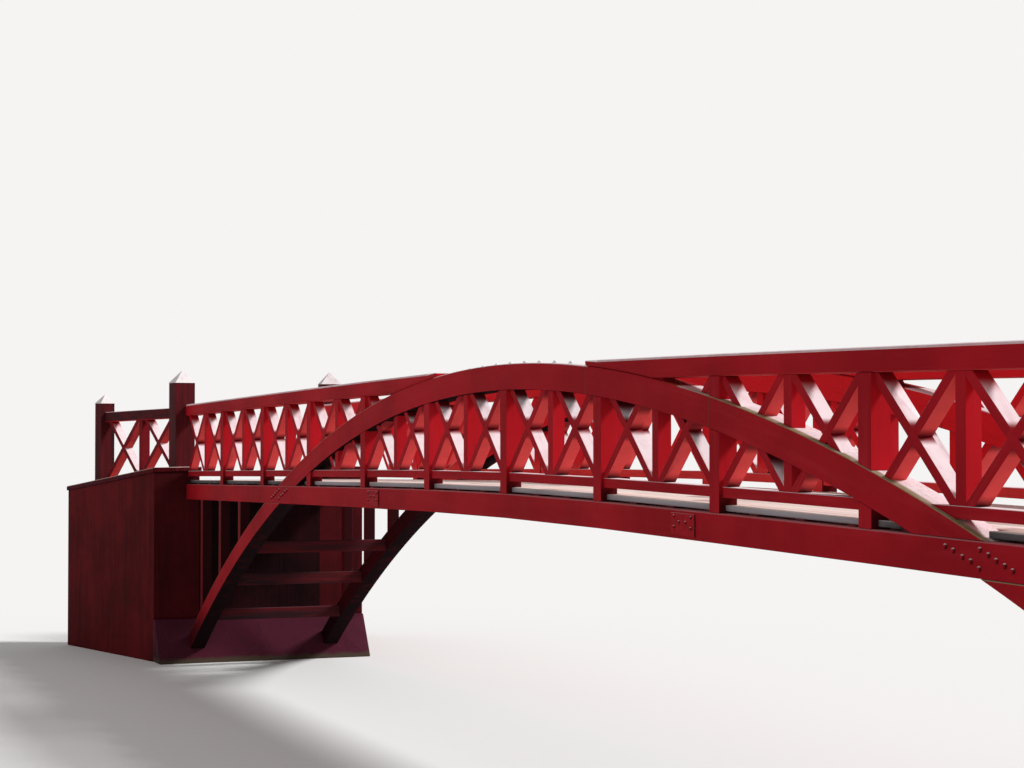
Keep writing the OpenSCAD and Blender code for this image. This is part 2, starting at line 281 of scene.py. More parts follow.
def grainArc(tree, where):
    # distance along the rib's back, and radius from its circle's centre
    top, radius = ribBack
    parts = split(tree, where)
    lift = calc(tree, "SUBTRACT", parts[2], top - radius)
    turn = calc(tree, "ARCTAN2", parts[0], lift)
    along = times(tree, turn, radius)
    aside = calc(tree, "POWER", parts[0], 2.0)
    above = calc(tree, "POWER", lift, 2.0)
    out = calc(tree, "SQRT", calc(tree, "ADD", aside, above))
    return join(tree, along, parts[1], out)


def inCell(tree, x):
    # braces cross at the middle of each metre: place in the metre, less a half
    return calc(tree, "SUBTRACT", calc(tree, "FRACT", x), 0.5)


def grainBraces(tree, where):
    # the two diagonals of each metre: x plus z along the one brace, x less z along the other
    parts = split(tree, where)
    cell = inCell(tree, parts[0])
    lift = calc(tree, "SUBTRACT", parts[2], bridge["crown"] + bridge["crossing"])
    rising = calc(tree, "GREATER_THAN", times(tree, cell, lift), 0.0)
    plus = calc(tree, "ADD", parts[0], parts[2])
    minus = calc(tree, "SUBTRACT", parts[0], parts[2])
    falling = calc(tree, "SUBTRACT", 1.0, rising)
    along = calc(tree, "ADD", times(tree, plus, rising), times(tree, minus, falling))
    across = calc(tree, "ADD", times(tree, minus, rising), times(tree, plus, falling))
    return join(tree, along, parts[1], across)


def heightOverWalk(tree, parts):
    # z less the height of the stringers' top, as gradeAt has it but smooth between the posts
    slope = bridge["slope"]
    rounding = bridge["rounding"]
    reach = calc(tree, "SQRT", timesPlus(tree, parts[0], parts[0], rounding**2))
    drop = timesPlus(tree, reach, slope, -slope * rounding - bridge["crown"])
    return calc(tree, "ADD", parts[2], drop)


def belowRib(tree, parts):
    # distance under the ribs' belly: its radius less the distance from its circle's centre
    top, radius = ribBelly
    lift = calc(tree, "SUBTRACT", parts[2], top - radius)
    return calc(tree, "SUBTRACT", radius, hypotenuse(tree, parts[0], lift))


def bounceLightPaint(tree, colour, parts, faces, share):
    # painted light bounced from the walkway, on faces towards it and along it
    over = heightOverWalk(tree, parts)
    above = band(tree, over, *paint["walkEdge"])
    outward = times(tree, faces[1], calc(tree, "SIGN", parts[1]))
    inward = times(tree, band(tree, outward, -0.45, -0.85), above)
    ends = times(tree, band(tree, absolute(tree, faces[0]), 0.45, 0.85), paint["endsShare"])
    bright = calc(tree, "MAXIMUM", inward, times(tree, ends, above))
    colour = tint(tree, times(tree, bright, share), colour, paint["bounceLight"])
    # dust that the walkway throws up, and painted light bounced from it
    lowest, highest = paint["splashAndBounceTo"]
    splashAndBounce = times(tree, inward, band(tree, over, highest, lowest))
    return tint(tree, times(tree, splashAndBounce, paint["splashAndBounceShare"]), colour, paint["dustAndBounceLight"])


def paintedShadowMasks(tree, parts, fromMiddle):
    # painted shadow where the top rail, the rib or the other brace keeps sun and rain away from the upper
    # faces, and painted shade in the corners at the crossings and under the rib
    over = heightOverWalk(tree, parts)
    depth = belowRib(tree, parts)
    close = calc(tree, "SUBTRACT", band(tree, depth, -0.05, -0.02), band(tree, depth, 0.03, 0.10))
    cell = inCell(tree, parts[0])
    lift = calc(tree, "SUBTRACT", over, bridge["crossing"])
    nearest, farthest = paint["aroundCrossing"]
    cornerShade = band(tree, hypotenuse(tree, cell, lift), farthest, nearest)
    # the wings' braces cross at other places
    mainOnly = band(tree, fromMiddle, bridge["halfLength"] + 0.1, bridge["halfLength"])
    shadedCorners = calc(tree, "MAXIMUM", close, times(tree, cornerShade, mainOnly))
    inShadow = calc(tree, "MAXIMUM", band(tree, over, *paint["underRail"]), shadedCorners)
    return inShadow, shadedCorners


def dirtAndShadeAtFeet(tree, colour, parts, faces, footTo):
    # dirt and painted shade at the feet, on the faces that look along the bridge or down
    foot = fall(tree, heightOverWalk(tree, parts), *footTo)
    aside = fall(tree, absolute(tree, faces[1]), 0.3, 0.8)
    foot = times(tree, foot, times(tree, aside, band(tree, faces[2], 0.6, 0.2)))
    return tint(tree, times(tree, foot, paint["footShare"]), colour, paint["black"])


def blackenUnderWalk(tree, colour, parts, faces, share):
    # painted shade, with damp: black under the walkway, on the inner faces and those that look along the
    # bridge
    inside = fall(tree, absolute(tree, parts[1]), *paint["innerFace"])
    endways = band(tree, absolute(tree, faces[0]), 0.55, 0.85)
    low = fall(tree, heightOverWalk(tree, parts), *paint["underWalk"])
    inside = times(tree, calc(tree, "MAXIMUM", inside, endways), low)
    return tint(tree, times(tree, inside, share), colour, paint["black"])


seam = {
    "filled": (0.004, 0.010),        # half widths between which the filling ends
    "cut": (0.001, 0.0028),
    "filledShare": 0.45,
    "cutShare": 0.75,
    "depth": 2.5,                    # in depths of the grain
}


def seamAcross(tree, colour, height, fromMiddle, place):
    # a joint across the timber: a dark cut about 4 mm wide in a filled band
    off = absolute(tree, calc(tree, "SUBTRACT", fromMiddle, place))
    filled = fall(tree, off, *seam["filled"])
    cut = fall(tree, off, *seam["cut"])
    colour = tint(tree, times(tree, filled, seam["filledShare"]), colour, paint["seam"])
    colour = tint(tree, times(tree, cut, seam["cutShare"]), colour, paint["grimeAndShade"])
    return colour, timesPlus(tree, cut, -seam["depth"], height)


def jointShadowLine(tree, colour, lengthwise, fromMiddle, joint):
    # painted shadow line along the rib's back where a top rail lies on it
    nearest, farthest = joint
    out = split(tree, lengthwise)[2]
    line = band(tree, out, ribBack[1] - 0.013, ribBack[1] - 0.008)
    begun = band(tree, fromMiddle, nearest, nearest + 0.05)
    ended = band(tree, fromMiddle, farthest, farthest + 0.05)
    covered = calc(tree, "SUBTRACT", begun, ended)
    return tint(tree, times(tree, line, covered), colour, paint["deep"])


moss = {
    "edge": (0.990, 1.020),          # from the bridge's middle, across it
    "spotScale": 46.0,
    "spotShare": 0.25,
    "thickScale": 9.0,
    "setsIn": 1.2,                   # distance along the bridge over which it grows to full strength
}


def mossGrowth(tree, where, parts, fromMiddle, up, mossFrom):
    # moss in a band along the outer arris, and a thin scatter on the rest of the back
    line = band(tree, absolute(tree, parts[1]), *moss["edge"])
    spots = band(tree, noise(tree, where, moss["spotScale"], 4.0), 0.50, 0.66)
    spots = times(tree, spots, moss["spotShare"])
    thick = timesPlus(tree, noise(tree, where, moss["thickScale"], 3.0), 0.5, 0.6)
    begun = band(tree, fromMiddle, mossFrom, mossFrom + moss["setsIn"])
    growth = times(tree, begun, band(tree, up, 0.12, 0.4))
    return times(tree, growth, calc(tree, "MAXIMUM", spots, times(tree, line, thick)))


def paintedTimber(name, grain, fadeAndSunlight, under="grimeAndShade", underShare=0.5, dirtAndShade=0.0, inner=0.0,
                  bounceLight=0.0, withPaintedShadows=False, footTo=None, mossFrom=None, seams=(), joint=None,
                  dampAndShadeFrom=paint["dampAndShadeFrom"], sunlitFadeColour="fadedAndSunlit", darkenSidesOnly=False):
    made, tree = startMaterial(name)
    where = objectPlace(tree)
    faces = faceDirection(tree)
    up = faces[2]
    parts = split(tree, where)
    fromMiddle = absolute(tree, parts[0])
    lengthwise = grain(tree, where)
    cloud = noise(tree, where, paint["cloudScale"], 4.0)
    patch = noise(tree, where, paint["patchScale"], 4.0)
    streak = noise(tree, stretch(tree, lengthwise, paint["streakScale"]), 1.0, 4.0, 0.6)
    fibre = noise(tree, stretch(tree, lengthwise, paint["fibreScale"]), 1.0, 4.0, 0.6)
    fine = noise(tree, where, paint["fineScale"], 2.0)
    # runs of rain
    runs = noise(tree, stretch(tree, where, paint["runScale"]), 1.0, 3.0)

    colour = tint(tree, band(tree, cloud, 0.35, 0.65), paint["deep"], paint["base"])
    # painted light bounced from the walkway
    if bounceLight > 0.0:
        colour = bounceLightPaint(tree, colour, parts, faces, bounceLight)
    dust = times(tree, band(tree, streak, 0.50, 0.72), paint["dustShare"])
    colour = tint(tree, dust, colour, paint["dusty"])
    dark = times(tree, band(tree, fibre, 0.52, 0.72), paint["fibreShare"])
    colour = tint(tree, dark, colour, paint["deep"])
    wet = times(tree, band(tree, runs, 0.56, 0.78), band(tree, patch, 0.35, 0.65))
    colour = tint(tree, times(tree, wet, paint["wetShare"]), colour, paint["grimeAndShade"])
    # bleached paint and painted sunlight on upper faces, with some of the red left along the grain
    kept = timesPlus(tree, band(tree, streak, 0.52, 0.72), -paint["redKept"], 1.0)
    top = times(tree, band(tree, up, 0.10, 0.60), timesPlus(tree, patch, 0.8, 0.60))
    top = times(tree, calc(tree, "MINIMUM", top, 1.0), kept)
    if withPaintedShadows:
        # no painted sunlight or fading in the painted shadows of the rail, the rib and the other brace
        inShadow, shadedCorners = paintedShadowMasks(tree, parts, fromMiddle)
        top = times(tree, top, timesPlus(tree, inShadow, -1.0, 1.0))
    colour = tint(tree, times(tree, top, fadeAndSunlight), colour, paint[sunlitFadeColour])
    # damp and painted shade darken the paint towards the foot, with a ragged edge
    lowest, highest = dampAndShadeFrom
    ragged = timesPlus(tree, runs, 0.5, parts[2])
    dampAndShade = fall(tree, ragged, lowest + 0.25, highest + 0.25)
    colour = tint(tree, times(tree, dampAndShade, paint["dampAndShadeShare"]), colour, paint["dampAndShade"])
    # dust with painted light bounced from the walkway, or dirt and painted shade, under the lower faces
    below = band(tree, times(tree, up, -1.0), 0.40, 0.72)
    share = times(tree, below, timesPlus(tree, patch, 0.4, underShare - 0.2))
    colour = tint(tree, share, colour, paint[under])
    if withPaintedShadows:
        # painted shade in the corners at the crossings and under the rib
        aside = band(tree, absolute(tree, faces[1]), 0.8, 0.3)
        share = times(tree, times(tree, aside, shadedCorners), paint["cornerShadeShare"])
        colour = tint(tree, share, colour, paint["cornerShade"])
    if footTo is not None:
        colour = dirtAndShadeAtFeet(tree, colour, parts, faces, footTo)
    # dirt and painted shade over the faces, or over the sides only
    if dirtAndShade > 0.0:
        share = times(tree, timesPlus(tree, streak, 0.8, 0.6), dirtAndShade)
        if darkenSidesOnly:
            share = times(tree, share, band(tree, absolute(tree, up), 0.5, 0.1))
        colour = tint(tree, share, colour, paint["grimeAndShade"])
    if inner > 0.0:
        colour = blackenUnderWalk(tree, colour, parts, faces, inner)
    rough = timesPlus(tree, patch, 0.16, paint["roughness"])
    rough = timesPlus(tree, top, 0.18, rough)
    if under == "black":
        # the black of the painted shade has no gloss
        rough = calc(tree, "MAXIMUM", rough, below)
    height = timesPlus(tree, fine, 0.06, fibre)

    for place in seams:
        colour, height = seamAcross(tree, colour, height, fromMiddle, place)
    if joint is not None:
        colour = jointShadowLine(tree, colour, lengthwise, fromMiddle, joint)
    if mossFrom is not None:
        growth = mossGrowth(tree, where, parts, fromMiddle, up, mossFrom)
        colour = tint(tree, growth, colour, paint["moss"])
        rough = calc(tree, "MAXIMUM", rough, times(tree, growth, 0.9))
    gloss = {"Specular IOR Level": paint["shine"]}
    finishMaterial(tree, colour, rough, height, paint["grainDepth"], paint["bump"], **gloss)
    return made


# Painted masonry of the abutments

wall = {
    "base": rgb(0.120, 0.0080, 0.0105),
    "deep": rgb(0.070, 0.0055, 0.0070),
    "worn": rgb(0.150, 0.0120, 0.0160),
    "stain": rgb(0.018, 0.005, 0.006),
    "shade": rgb(0.021, 0.0050, 0.0065),
    "shadeDeep": rgb(0.009, 0.0035, 0.0042),
    "shadeWorn": rgb(0.035, 0.0070, 0.0095),
    "moss": rgb(0.050, 0.058, 0.020),
    "pink": rgb(0.068, 0.0125, 0.0240),
    "plinthDeep": rgb(0.038, 0.0080, 0.0140),
    "plinthWorn": rgb(0.185, 0.075, 0.115),
    "algae": rgb(0.060, 0.046, 0.030),
    "copingTop": rgb(0.60, 0.42, 0.37),
    "copingFace": rgb(0.062, 0.013, 0.022),
    "shine": 0.015,
    "roughness": 0.55,
    "depth": 0.0016,
    "bump": 0.5,
    # scales of the noises, for each metre
    "cloudScale": 1.1,
    "patchScale": 8.0,
    "gritScale": 95.0,
    "pitScale": 55.0,
    "lichenScale": 11.0,
    "wideScale": (6.5, 6.5, 0.45),   # stains that run down are long in z
    "thinScale": (34.0, 34.0, 0.9),
    # how much of each colour there is at most
    "thinShare": 0.40,
    "patchShare": 0.25,
    "lichenShare": 0.6,
    "algaeShare": 0.9,
}


def masonry(name, base, deep, worn, topColour=None, algaeTo=0.0, stained=0.55, innerShade=0.0):
    made, tree = startMaterial(name)
    where = objectPlace(tree)
    faces = faceDirection(tree)
    up = faces[2]
    parts = split(tree, where)
    cloud = noise(tree, where, wall["cloudScale"], 5.0, 0.6)
    patch = noise(tree, where, wall["patchScale"], 3.0, 0.5)
    grit = noise(tree, where, wall["gritScale"], 4.0, 0.6)
    wide = noise(tree, stretch(tree, where, wall["wideScale"]), 1.0, 4.0, 0.6)
    thin = noise(tree, stretch(tree, where, wall["thinScale"]), 1.0, 3.0, 0.55)
    inputs = {"Vector": where, "Scale": wall["pitScale"]}
    pits = addNode(tree, "ShaderNodeTexVoronoi", inputs).outputs["Distance"]

    colour = tint(tree, band(tree, cloud, 0.36, 0.66), deep, base)
    share = times(tree, band(tree, thin, 0.48, 0.70), wall["thinShare"])
    colour = tint(tree, share, colour, worn)
    share = times(tree, band(tree, patch, 0.50, 0.75), wall["patchShare"])
    colour = tint(tree, share, colour, worn)
    share = times(tree, band(tree, wide, 0.50, 0.68), stained)
    colour = tint(tree, share, colour, wall["stain"])
    if innerShade > 0.0:
        # painted shade on the faces towards midspan
        outward = times(tree, faces[0], calc(tree, "SIGN", parts[0]))
        share = times(tree, band(tree, outward, -0.5, -0.9), innerShade)
        colour = tint(tree, share, colour, wall["shade"])
    if topColour is not None:
        crown = times(tree, band(tree, up, 0.12, 0.55), calc(tree, "ADD", 0.45, patch))
        colour = tint(tree, crown, colour, topColour)
        spread = band(tree, noise(tree, where, wall["lichenScale"], 5.0), 0.58, 0.70)
        lichen = times(tree, band(tree, up, 0.6, 0.9), spread)
        colour = tint(tree, times(tree, lichen, wall["lichenShare"]), colour, wall["moss"])
    if algaeTo > 0.0:
        # algae at the foot: its upper edge wanders with the noise
        edge = timesPlus(tree, wide, algaeTo, algaeTo * 0.3)
        growth = fall(tree, calc(tree, "DIVIDE", parts[2], edge), 0.55, 1.6)
        colour = tint(tree, times(tree, growth, wall["algaeShare"]), colour, wall["algae"])
    rough = timesPlus(tree, patch, 0.25, wall["roughness"])
    coarse = calc(tree, "ADD", patch, band(tree, pits, 0.05, 0.25))
    height = timesPlus(tree, grit, 0.35, coarse)
    gloss = {"Specular IOR Level": wall["shine"]}
    finishMaterial(tree, colour, rough, height, wall["depth"], wall["bump"], **gloss)
    return made


# Bare and stained boards

board = {
    "pale": rgb(0.88, 0.83, 0.77),
    "grey": rgb(0.72, 0.66, 0.60),
    "dark": rgb(0.17, 0.150, 0.140),
    "edge": rgb(0.30, 0.275, 0.310),
    # painted shade on the boards' sides and outer edges towards the ends
    "endShade": rgb(0.035, 0.028, 0.036),
    "stained": rgb(0.150, 0.022, 0.026),
    "stainedDeep": rgb(0.060, 0.012, 0.014),
    "shine": 0.08,
    "roughness": 0.62,
    "depth": 0.0018,
    "bump": 0.8,
    "shift": (31.0, 17.0),           # of the grain from board to board, along and up
    # scales of the noises, for each metre: the second and third number are across the grain
    "fibreScale": (2.2, 85.0, 85.0),
    "wideScale": (0.9, 9.0, 9.0),
    "checkScale": (1.3, 210.0, 210.0),
    "patchScale": 5.0,
    # how much of each colour there is at most
    "fibreShare": 0.55,
    "checkShare": 0.75,
    "shadeShare": 0.45,
    "rimShare": 0.85,
    "endShadeShare": 0.85,
    "outerEdgeShadeShare": 0.5,
    "outerEdge": (0.90, 0.98),       # from the bridge's middle, across it
}


def weatheredBoards(name, light, middle, dark, side, shadeName=None, endsFrom=None):
    made, tree = startMaterial(name)
    where = objectPlace(tree)
    up = faceDirection(tree)[2]
    if shadeName is not None:
        # each board has its own number, which also moves the grain
        shade = addNode(tree, "ShaderNodeAttribute", None, attribute_name=shadeName).outputs["Fac"]
        along, above = board["shift"]
        shift = join(tree, times(tree, shade, along), 0.0, times(tree, shade, above))
        where = addNode(tree, "ShaderNodeVectorMath", {0: where, 1: shift}, operation="ADD").outputs[0]
    fibre = noise(tree, stretch(tree, where, board["fibreScale"]), 1.0, 5.0, 0.62)
    wide = noise(tree, stretch(tree, where, board["wideScale"]), 1.0, 4.0)
    patch = noise(tree, where, board["patchScale"], 4.0)
    checks = noise(tree, stretch(tree, where, board["checkScale"]), 1.0, 3.0, 0.7)
    cracked = band(tree, checks, 0.63, 0.78)

    colour = tint(tree, band(tree, wide, 0.30, 0.72), middle, light)
    share = times(tree, band(tree, fibre, 0.50, 0.75), board["fibreShare"])
    colour = tint(tree, share, colour, middle)
    colour = tint(tree, times(tree, cracked, board["checkShare"]), colour, dark)
    if shadeName is not None:
        colour = tint(tree, times(tree, shade, board["shadeShare"]), colour, middle)
    rim = fall(tree, up, 0.0, 0.6)
    colour = tint(tree, times(tree, rim, board["rimShare"]), colour, side)
    if endsFrom is not None:
        # painted shade on the sides and along the outer edge, beside the ribs and towards the ends
        parts = split(tree, objectPlace(tree))
        far = band(tree, absolute(tree, parts[0]), endsFrom, endsFrom + 0.2)
        outer = band(tree, absolute(tree, parts[1]), *board["outerEdge"])
        share = times(tree, times(tree, far, rim), board["endShadeShare"])
        colour = tint(tree, share, colour, board["endShade"])
        worn = times(tree, far, times(tree, outer, band(tree, patch, 0.35, 0.7)))
        colour = tint(tree, times(tree, worn, board["outerEdgeShadeShare"]), colour, dark)
    rough = timesPlus(tree, patch, 0.2, board["roughness"])
    height = timesPlus(tree, cracked, -0.8, fibre)
    gloss = {"Specular IOR Level": board["shine"]}
    finishMaterial(tree, colour, rough, height, board["depth"], board["bump"], **gloss)
    return made


# Steel of the bolts

steel = {
    "zinc": rgb(0.86, 0.85, 0.84),
    "zincDull": rgb(0.62, 0.62, 0.63),
    "rust": rgb(0.16, 0.055, 0.022),
    "metallic": 0.35,
    "flakeScale": 240.0,
    "zincPatchScale": 38.0,
    "paintPatchScale": 22.0,
    "zincRust": 0.4,                 # most of the rust that shows
    "paintRust": 0.5,
    # grime and painted shade on the sides; dust and a painted highlight on the tops
    "grimeAndShadeShare": 0.85,
    "dustShare": 0.8,
    "zincRoughness": 0.28,
    "paintRoughness": 0.40,
    "zincDepth": 0.0004,
    "paintDepth": 0.0006,
    "bump": 0.5,
}


def zincSteel(name):
    made, tree = startMaterial(name)
    where = objectPlace(tree)
    inputs = {"Vector": where, "Scale": steel["flakeScale"]}
    flakes = addNode(tree, "ShaderNodeTexVoronoi", inputs).outputs["Color"]
    patch = noise(tree, where, steel["zincPatchScale"], 4.0)
    share = addNode(tree, "ShaderNodeSeparateColor", {0: flakes}).outputs[0]
    colour = tint(tree, share, steel["zincDull"], steel["zinc"])
    rusty = times(tree, band(tree, patch, 0.64, 0.76), steel["zincRust"])
    colour = tint(tree, rusty, colour, steel["rust"])
    rough = timesPlus(tree, patch, 0.3, steel["zincRoughness"])
    metal = {"Metallic": steel["metallic"]}
    finishMaterial(tree, colour, rough, patch, steel["zincDepth"], steel["bump"], **metal)
    return made


def paintedSteel(name):
    # the timber's paint on steel: spots of rust, grime and painted shade on what doesn't face straight out,
    # and dust and a painted highlight on top
    made, tree = startMaterial(name)
    where = objectPlace(tree)
    faces = faceDirection(tree)
    patch = noise(tree, where, steel["paintPatchScale"], 5.0)
    colour = tint(tree, band(tree, patch, 0.40, 0.62), paint["deep"], paint["base"])
    rusty = times(tree, band(tree, patch, 0.68, 0.78), steel["paintRust"])
    colour = tint(tree, rusty, colour, steel["rust"])
    aside = fall(tree, absolute(tree, faces[1]), 0.55, 0.97)
    colour = tint(tree, times(tree, aside, steel["grimeAndShadeShare"]), colour, paint["grimeAndShade"])
    dusty = times(tree, band(tree, faces[2], 0.35, 0.8), steel["dustShare"])
    colour = tint(tree, dusty, colour, paint["fadedAndSunlit"])
    rough = timesPlus(tree, patch, 0.2, steel["paintRoughness"])
    gloss = {"Specular IOR Level": paint["shine"]}
    finishMaterial(tree, colour, rough, patch, steel["paintDepth"], steel["bump"], **gloss)
    return made


# the shares below also set painted bounce light, painted sunlight on tops and painted shade
finish = {
    "along": paintedTimber("railPaint", grainAlong, 0.97, "dustAndBounceLight", 0.2, bounceLight=0.9),
    "stringer": paintedTimber("stringerPaint", grainAlong, 0.22, "black", 0.9, inner=0.8),
    "upright": paintedTimber("postPaint", grainUp, 0.0, bounceLight=0.9, footTo=(0.06, 0.22)),
    "arch": paintedTimber("archPaint", grainArc, 0.90, "black", 1.0, inner=0.88, bounceLight=0.8,
                          mossFrom=3.0, seams=(1.765, 3.915), joint=(1.78, 3.40),
                          dampAndShadeFrom=(0.45, 0.90)),
    "braces": paintedTimber("bracePaint", grainBraces, 0.97, "dustAndBounceLight", 0.75, bounceLight=0.9,
                            withPaintedShadows=True, footTo=(0.18, 0.26)),
    "wingRail": paintedTimber("wingRailPaint", grainAlong, 0.97, "dustAndBounceLight", 0.2, dirtAndShade=0.85,
                              darkenSidesOnly=True),
    "wingBrace": paintedTimber("wingBracePaint", grainBraces, 0.97, "dustAndBounceLight", 0.5, dirtAndShade=0.6,
                               withPaintedShadows=True, darkenSidesOnly=True),
    "strut": paintedTimber("strutPaint", grainUp, 0.4, "black", 0.9, dirtAndShade=0.62, inner=0.85),
    "across": paintedTimber("tiePaint", grainAcross, 0.2, "black", 0.9, dirtAndShade=0.90),
    "endPost": paintedTimber("endPostPaint", grainUp, 0.5, dirtAndShade=0.85),
    "cap": paintedTimber("capPaint", grainUp, 0.95, sunlitFadeColour="chalkyAndSunlit"),
    "wall": masonry("wallPaint", wall["base"], wall["deep"], wall["worn"], stained=0.4,
                    innerShade=0.5),
    "shadedWall": masonry("shadedWallPaint", wall["shade"], wall["shadeDeep"], wall["shadeWorn"]),
    "coping": masonry("copingPaint", wall["copingFace"], wall["deep"], wall["worn"],
                      wall["copingTop"]),
    "plinth": masonry("plinthPaint", wall["pink"], wall["plinthDeep"], wall["plinthWorn"],
                      wall["pink"], algaeTo=0.07, stained=0.85),
    "deck": weatheredBoards("deckGrey", board["pale"], board["grey"], board["dark"], board["edge"],
                            "boardShade", endsFrom=6.0),
    "under": weatheredBoards("underStain", board["stained"], board["stained"],
                             board["stainedDeep"], board["stained"]),
    "zinc": zincSteel("zincSteel"),
    "steelPaint": paintedSteel("platePaint"),
}
print("materials made:", len(finish))


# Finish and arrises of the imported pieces: first part of the name, material, width of the rounded arris

arrises = [
    ("plinth", "plinth", 0.014), ("front_wall", "shadedWall", 0.008), ("wing_wall", "wall", 0.010),
    ("copings", "coping", 0.010), ("thresholds", "under", 0.004), ("joists", "under", 0.004),
    ("rib_", "arch", 0.007), ("struts", "strut", 0.005), ("ties", "across", 0.005),
    ("stringer", "stringer", 0.009), ("splice", "steelPaint", 0.0015), ("main_posts", "upright", 0.006),
    ("uprights", "upright", 0.004), ("bottom_rail", "along", 0.016), ("lattice", "braces", 0.004),
    ("top_rail", "along", 0.020), ("tall_posts", "endPost", 0.007), ("wing_posts", "endPost", 0.006),
    ("post_caps", "cap", 0.004), ("wing_rails", "wingRail", 0.008), ("wing_lattices", "wingBrace", 0.004),
]
arrisShape = {"weldWithin": 0.0002, "segments": 2, "overDegrees": 25}


def finishPacked(piece, look, width):
    piece.data.materials.clear()
    piece.data.materials.append(look)
    weld = piece.modifiers.new("weld", "WELD")
    weld.merge_threshold = arrisShape["weldWithin"]
    rounded = piece.modifiers.new("arris", "BEVEL")
    rounded.width = width
    rounded.segments = arrisShape["segments"]
    rounded.limit_method = "ANGLE"
    rounded.angle_limit = math.radians(arrisShape["overDegrees"])
    rounded.use_clamp_overlap = True


for start, kind, width in arrises:
    for name in [n for n in nodes if n.startswith(start)]:
        finishPacked(nodes[name], finish[kind], width)
print("packed pieces finished")


# Mesh helpers

def gridFaces(copies, rows, columns):
    # quads of closed tubes: rows of rings along each tube, and one many-sided face at each end
    index = np.arange(copies * rows * columns).reshape(copies, rows, columns)
    near = index[:, :-1]
    far = index[:, 1:]
    quads = np.stack([near, np.roll(near, -1, 2), np.roll(far, -1, 2), far], -1).reshape(-1, 4)
    return quads, np.concatenate([index[:, 0, ::-1], index[:, -1]])


def makePiece(name, points, faceSets, look, values=None):
    mesh = bpy.data.meshes.new(name)
    sizes = np.concatenate([np.full(len(f), f.shape[1]) for f in faceSets])
    shadedCorners = np.concatenate([f.ravel() for f in faceSets]).astype(np.int32)
    starts = np.concatenate([[0], np.cumsum(sizes)[:-1]]).astype(np.int32)
    mesh.vertices.add(len(points))
    mesh.vertices.foreach_set("co", points.astype(np.float32).ravel())
    mesh.loops.add(len(shadedCorners))
    mesh.loops.foreach_set("vertex_index", shadedCorners)
    mesh.polygons.add(len(sizes))
    mesh.polygons.foreach_set("loop_start", starts)
    mesh.update(calc_edges=True)
    mesh.validate()
    for label, numbers in (values or {}).items():
        channel = mesh.attributes.new(label, "FLOAT", "POINT")
        channel.data.foreach_set("value", numbers.astype(np.float32))
    mesh.materials.append(look)
    piece = bpy.data.objects.new(name, mesh)
    bpy.context.scene.collection.objects.link(piece)
    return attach(piece, "root")


# Deck boards, laid along the bridge on the joists, and edge boards notched to the main posts

deck = {
    "boards": 12,            # between the ribs
    "gap": 0.007,
    "endGap": 0.003,
    "thickness": 0.042,
    "arris": 0.005,
    "arrisPoints": 4,
    "flatFrom": 0.03,        # from the board's side to the first point on its flat top
    "spans": 6,              # joist spaces under a whole board
    "shortest": 0.4,         # board at the bridge's ends
    "unevenness": 0.0010,
    "notchGap": 0.003,
    "ribGap": 0.006,
    "ribBetween": (5.0, 8.5, 3501),   # where a rib passes the deck: from, to and steps of the search
}


def boardProfile():
    # outline with chamfered lower and rounded upper arrises: (side, step in from that side, height)
    r = deck["arris"]
    high = deck["thickness"]
    turn = np.linspace(0, np.pi / 2, deck["arrisPoints"])
    step = np.concatenate([[r, 0.0], r - r * np.cos(turn), [deck["flatFrom"]]])
    z = np.concatenate([[0.0, r], high - r + r * np.sin(turn), [high]])
    side = np.repeat([1, 0], len(z))
    return side, np.concatenate([step, step[::-1]]), np.concatenate([z, z[::-1]])


def boardRings(x, inner, outer, lift):
    # a board as rings across it at each x, with edges that may change with x: a point lies its
    # outline's step in from the inner or outer edge, and its height over the stringers' top and the gap there
    side, step, z = boardProfile()
    outerSide = outer[:, None] - step[None, :]
    innerSide = inner[:, None] + step[None, :]
    ring = np.empty((len(x), len(z), 3))
    ring[..., 0] = x[:, None]
    ring[..., 1] = np.where(side[None, :] == 1, outerSide, innerSide)
    ring[..., 2] = gradeAt(x)[:, None] + bridge["deckLow"] + z[None, :] * (1 - lift)
    return ring


def ribCrossing():
    # where the rib's belly comes down to the deck's top, and its back to the deck's underside
    x = np.linspace(*deck["ribBetween"])
    over = gradeAt(x) + bridge["deckLow"]
    belly = x[np.argmax(arcAt(ribBelly, x) < over + deck["thickness"])]
    back = x[np.argmax(arcAt(ribBack, x) < over)]
    return belly - deck["ribGap"], back + deck["ribGap"]


def innerBoards():
    # begin, end, inner and outer edge, notched or not, and side of each board between the ribs
    far = bridge["halfLength"]
    pitch = 2 * bridge["ribInner"] / deck["boards"]
    joists = joistsAlong()
    for row in range(deck["boards"]):
        first = int(rng.integers(0, deck["spans"]))
        cuts = joists[first::deck["spans"]]
        cuts = np.concatenate([[-far], cuts[np.abs(cuts) < far - deck["shortest"]], [far]])
        inner = row * pitch - bridge["ribInner"] + deck["gap"] / 2
        for begin, end in zip(cuts[:-1], cuts[1:]):
            yield begin, end, inner, inner + pitch - deck["gap"], False, 1


def edgeBoards():
    belly, back = ribCrossing()
    far = bridge["halfLength"]
    middle = deck["spans"] * bridge["joistPitch"]
    joint = bridge["joistPitch"]
    ends = ((-far, -back), (-belly, -middle), (-middle, joint), (joint, belly), (back, far))
    for side in (-1, 1):
        for begin, end in ends:
            yield begin, end, bridge["ribInner"] + deck["gap"] / 2, bridge["deckHalf"], True, side


